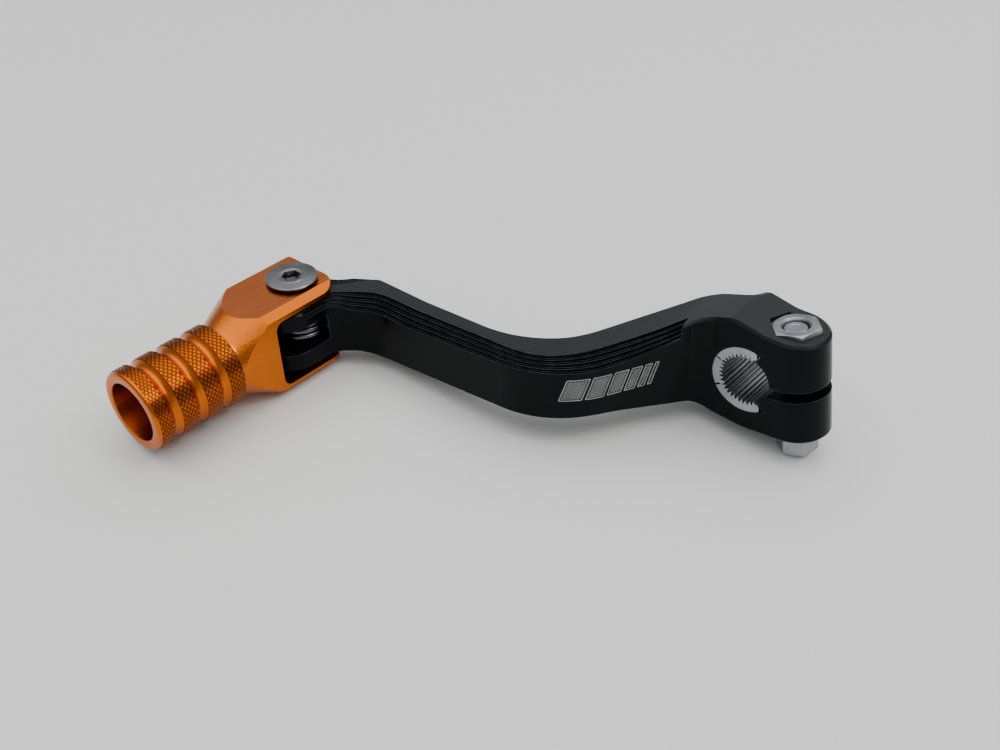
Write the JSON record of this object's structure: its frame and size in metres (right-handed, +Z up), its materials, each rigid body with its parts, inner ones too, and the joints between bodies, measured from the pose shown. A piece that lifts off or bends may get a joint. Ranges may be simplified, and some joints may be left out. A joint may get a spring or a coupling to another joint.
{
  "type": "motorcycle gear shift lever",
  "caption": "Cranked gear shift lever: splined pinch clamp with cross bolt at one end, sprung folding toe tip with knurled hollow barrel at the other.",
  "frame": {"origin": "centre of the splined bore, at the middle of the clamp's width", "axes": "+Y along the splined bore towards the engine, +Z up and along the toe tip's hinge, -X from the clamp towards the toe tip"},
  "size_m": [0.1255, 0.1108, 0.0335],
  "materials": {
    "black_anodised": "black anodised, satin",
    "orange_anodised": "orange anodised, satin",
    "steel_zinc": "bright zinc",
    "steel_turned": "turned stainless",
    "steel_insert": "blanked and broached",
    "spring_steel": "oiled spring steel",
    "bronze": "sintered bronze",
    "polymer_washer": "matt black"
  },
  "bodies": {
    "arm": {"lever_arm": "black_anodised", "spline_insert": "steel_insert", "clamp_bolt": "steel_zinc", "clamp_nut": "steel_zinc", "torsion_spring": "spring_steel", "spring_sleeve": "steel_turned", "upper_bush": "bronze", "lower_bush": "bronze", "upper_washer": "polymer_washer", "lower_washer": "polymer_washer"},
    "tip": {"toe_tip": "orange_anodised", "pivot_bolt": "steel_turned"}
  },
  "joints": [
    {"name": "toe_fold", "type": "hinge", "parent": "arm", "child": "tip", "pos_m": [-0.097, -0.0552, 0.001], "axis": [0, 0, 1], "range_deg": [0, 75], "stiffness_Nm_per_rad": 0.25, "springref_deg": -34.38, "deforming": ["torsion_spring"]}
  ]
}
